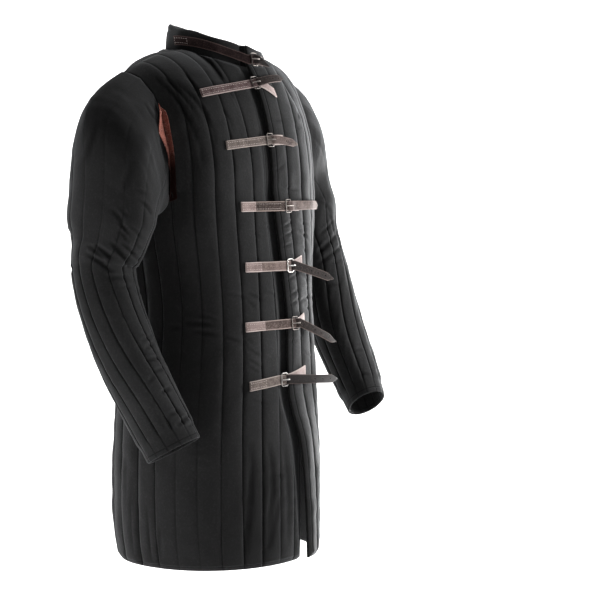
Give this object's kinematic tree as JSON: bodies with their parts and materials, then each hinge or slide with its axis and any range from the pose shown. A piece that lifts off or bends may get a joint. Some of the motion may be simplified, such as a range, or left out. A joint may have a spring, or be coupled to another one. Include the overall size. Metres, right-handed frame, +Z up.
{
  "type": "gambeson",
  "caption": "Quilted arming coat with a standing collar, long sleeves open under the arms, and a lapped front closed by buckled straps; hollow, in its worn form.",
  "frame": {"origin": "on the line of the shoulders, at the middle of the neck, where the wearer carries the coat", "axes": "+Z up, the front faces -Y, the wearer's right is at -X"},
  "size_m": [0.6829, 0.3731, 0.9852],
  "materials": {
    "cloth": "soft matt cotton, quilted",
    "strap_leather": "smooth, slightly waxed",
    "tab_leather": "paler, worn",
    "binding_leather": "smooth",
    "steel": "bright wire"
  },
  "bodies": {
    "root": {"front_right": "cloth", "front_left": "cloth", "back": "cloth", "collar": "cloth", "sleeve_right": "cloth", "sleeve_left": "cloth", "armhole_binding_right": "binding_leather", "armhole_binding_left": "binding_leather", "strap_1": "strap_leather", "tab_1": "tab_leather", "buckle_1": "steel", "prong_1": "steel", "strap_2": "strap_leather", "tab_2": "tab_leather", "buckle_2": "steel", "prong_2": "steel", "strap_3": "strap_leather", "tab_3": "tab_leather", "buckle_3": "steel", "prong_3": "steel", "strap_4": "strap_leather", "tab_4": "tab_leather", "buckle_4": "steel", "prong_4": "steel", "strap_5": "strap_leather", "tab_5": "tab_leather", "buckle_5": "steel", "prong_5": "steel", "strap_6": "strap_leather", "tab_6": "tab_leather", "buckle_6": "steel", "prong_6": "steel", "strap_7": "strap_leather", "tab_7": "tab_leather", "buckle_7": "steel", "prong_7": "steel"}
  },
  "joints": []
}
